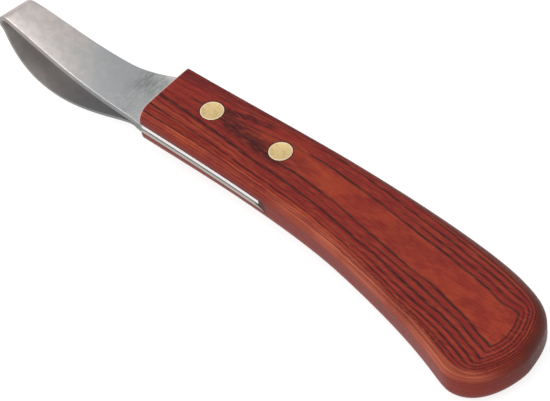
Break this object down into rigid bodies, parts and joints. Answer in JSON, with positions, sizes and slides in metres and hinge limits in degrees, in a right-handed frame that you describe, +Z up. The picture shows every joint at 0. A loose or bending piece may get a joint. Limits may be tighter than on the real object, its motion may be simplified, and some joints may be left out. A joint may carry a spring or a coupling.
{
  "type": "loop-bladed skiving knife",
  "caption": "Hand knife with a closed steel loop blade, ground along both edges, riveted into a curved laminated wood handle; skives and pares with a pull stroke.",
  "frame": {"origin": "on the table, under the middle of the knife's box as it lies at rest", "axes": "+X from the blade's tip towards the butt, +Y across the handle towards its straighter edge, +Z up from the table"},
  "size_m": [0.2046, 0.0432, 0.0231],
  "materials": {
    "laminated_wood": "red-dyed laminated veneers, sanded and waxed to a low gloss",
    "ground_steel": "bead-blasted satin with ground edges",
    "rivet_brass": "sanded flush with the wood, with fine pits"
  },
  "bodies": {
    "root": {"handle": "laminated_wood", "loop_blade": "ground_steel", "rivet_1_tube_half": "rivet_brass", "rivet_1_pin_half": "rivet_brass", "rivet_2_tube_half": "rivet_brass", "rivet_2_pin_half": "rivet_brass"}
  },
  "joints": []
}
